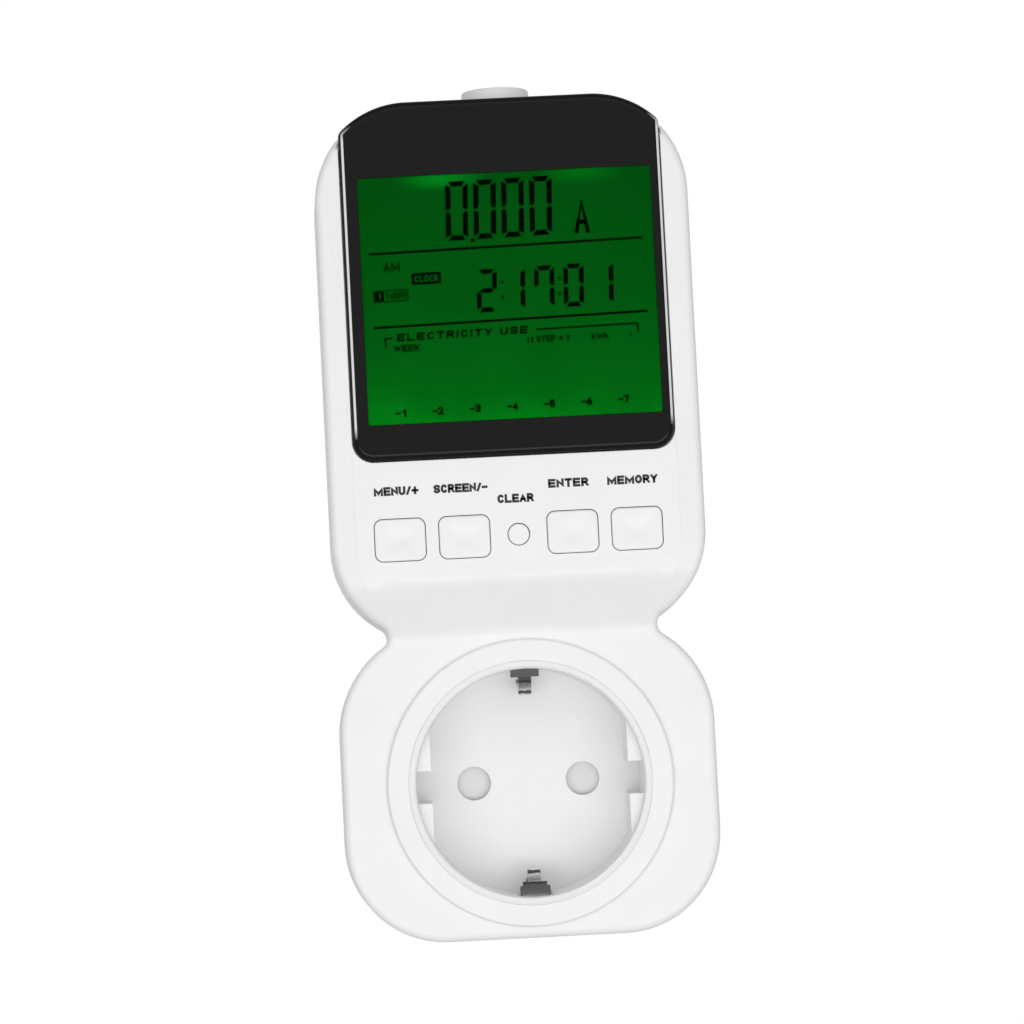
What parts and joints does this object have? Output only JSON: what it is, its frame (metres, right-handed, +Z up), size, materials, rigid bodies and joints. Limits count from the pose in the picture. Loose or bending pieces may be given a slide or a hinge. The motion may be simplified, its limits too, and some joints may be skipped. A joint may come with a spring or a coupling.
{
  "type": "plug-in power meter",
  "caption": "Mains plug adapter with a socket outlet below a metering head that has a backlit display, press keys and a top button.",
  "frame": {"origin": "middle of the plug's face, between the two pins, where it meets the bottom of a wall socket", "axes": "+Z up along the meter from outlet to display, +Y out of the plug into the wall, +X to the right as the user faces it"},
  "size_m": [0.0656, 0.0808, 0.1472],
  "materials": {
    "casing_white": "fine satin moulded plastic",
    "key_white": "smooth satin moulded plastic",
    "window_black": "polished acrylic printed black from behind",
    "display_green": "backlit liquid-crystal glass",
    "light_guide": "frosted clear plastic",
    "black_plastic": "matt black moulding",
    "circuit_board": "green solder mask on glass fibre",
    "chip_black": "matt moulded epoxy",
    "screw_steel": "zinc plated steel",
    "nickel_plate": "nickel plated brass",
    "contact_brass": "bare stamped brass",
    "shunt_alloy": "bare resistance alloy",
    "crystal_can": "drawn metal can",
    "shutter_grey": "light grey moulding",
    "capacitor_yellow": "yellow moulded case",
    "absorber_blue": "dipped blue coating",
    "fuse_ceramic": "glazed ceramic tube with metal caps",
    "battery_sleeve": "shrink sleeve",
    "lead_brown": "soft insulation",
    "lead_blue": "soft insulation",
    "ribbon_grey": "ribbed flat cable",
    "strip_rubber": "layered conductive rubber"
  },
  "bodies": {
    "housing": {"front_cover": "casing_white", "rear_cover": "casing_white", "cover_screw_1": "screw_steel", "cover_screw_2": "screw_steel", "cover_screw_3": "screw_steel", "cover_screw_4": "screw_steel", "display_window": "window_black", "lcd_glass": "display_green", "backlight_guide": "light_guide", "backlight_led_left": "fuse_ceramic", "backlight_led_right": "fuse_ceramic", "lcd_frame": "black_plastic", "zebra_strip": "strip_rubber", "display_board": "circuit_board", "display_board_screw_left": "screw_steel", "display_board_screw_right": "screw_steel", "controller_chip": "chip_black", "timing_crystal": "crystal_can", "backup_battery": "battery_sleeve", "value_switch": "black_plastic", "display_switch": "black_plastic", "set_switch": "black_plastic", "history_switch": "black_plastic", "reset_switch": "black_plastic", "top_switch": "black_plastic", "metering_board": "circuit_board", "metering_board_screw_left": "screw_steel", "metering_board_screw_right": "screw_steel", "suppression_capacitor": "capacitor_yellow", "smoothing_capacitor": "chip_black", "surge_absorber": "absorber_blue", "metering_chip": "chip_black", "fuse": "fuse_ceramic", "current_shunt": "shunt_alloy", "ribbon_cable": "ribbon_grey", "live_lead": "lead_brown", "neutral_lead": "lead_blue", "socket_cup": "casing_white", "shutter_carrier": "casing_white", "shutter_spring": "screw_steel", "live_contact": "contact_brass", "neutral_contact": "contact_brass", "earth_strap": "contact_brass", "plug_base": "casing_white", "live_pin": "nickel_plate", "neutral_pin": "nickel_plate", "upper_plug_earth": "nickel_plate", "lower_plug_earth": "nickel_plate", "earth_receptacle": "contact_brass"},
    "value_key": {"value_key": "key_white"},
    "display_key": {"display_key": "key_white"},
    "set_key": {"set_key": "key_white"},
    "history_key": {"history_key": "key_white"},
    "reset_key": {"reset_key": "key_white"},
    "top_button": {"top_button": "key_white"},
    "shutter": {"shutter": "shutter_grey"},
    "upper_earth_clip": {"upper_earth_clip": "nickel_plate"},
    "lower_earth_clip": {"lower_earth_clip": "nickel_plate"}
  },
  "joints": [
    {"name": "value_key_press", "type": "slide", "parent": "housing", "child": "value_key", "axis": [0, 1, 0], "range_m": [0, 0.0008], "stiffness_N_per_m": 1500, "springref_m": -0.0002},
    {"name": "display_key_press", "type": "slide", "parent": "housing", "child": "display_key", "axis": [0, 1, 0], "range_m": [0, 0.0008], "stiffness_N_per_m": 1500, "springref_m": -0.0002},
    {"name": "set_key_press", "type": "slide", "parent": "housing", "child": "set_key", "axis": [0, 1, 0], "range_m": [0, 0.0008], "stiffness_N_per_m": 1500, "springref_m": -0.0002},
    {"name": "history_key_press", "type": "slide", "parent": "housing", "child": "history_key", "axis": [0, 1, 0], "range_m": [0, 0.0008], "stiffness_N_per_m": 1500, "springref_m": -0.0002},
    {"name": "reset_key_press", "type": "slide", "parent": "housing", "child": "reset_key", "axis": [0, 1, 0], "range_m": [0, 0.0008], "stiffness_N_per_m": 1500, "springref_m": -0.0002},
    {"name": "top_button_press", "type": "slide", "parent": "housing", "child": "top_button", "axis": [0, 0, -1], "range_m": [0, 0.0012], "stiffness_N_per_m": 1200, "springref_m": -0.0003},
    {"name": "shutter_turn", "type": "hinge", "parent": "housing", "child": "shutter", "pos_m": [0, -0.0353, 0], "axis": [0, 1, 0], "range_deg": [0, 40], "stiffness_Nm_per_rad": 0.02, "springref_deg": -8.59},
    {"name": "upper_earth_clip_spread", "type": "hinge", "parent": "housing", "child": "upper_earth_clip", "pos_m": [0, -0.0385, 0.0173], "axis": [-1, 0, 0], "range_deg": [0, 8], "stiffness_Nm_per_rad": 0.6},
    {"name": "lower_earth_clip_spread", "type": "hinge", "parent": "housing", "child": "lower_earth_clip", "pos_m": [0, -0.0385, -0.0173], "axis": [1, 0, 0], "range_deg": [0, 8], "stiffness_Nm_per_rad": 0.6}
  ]
}
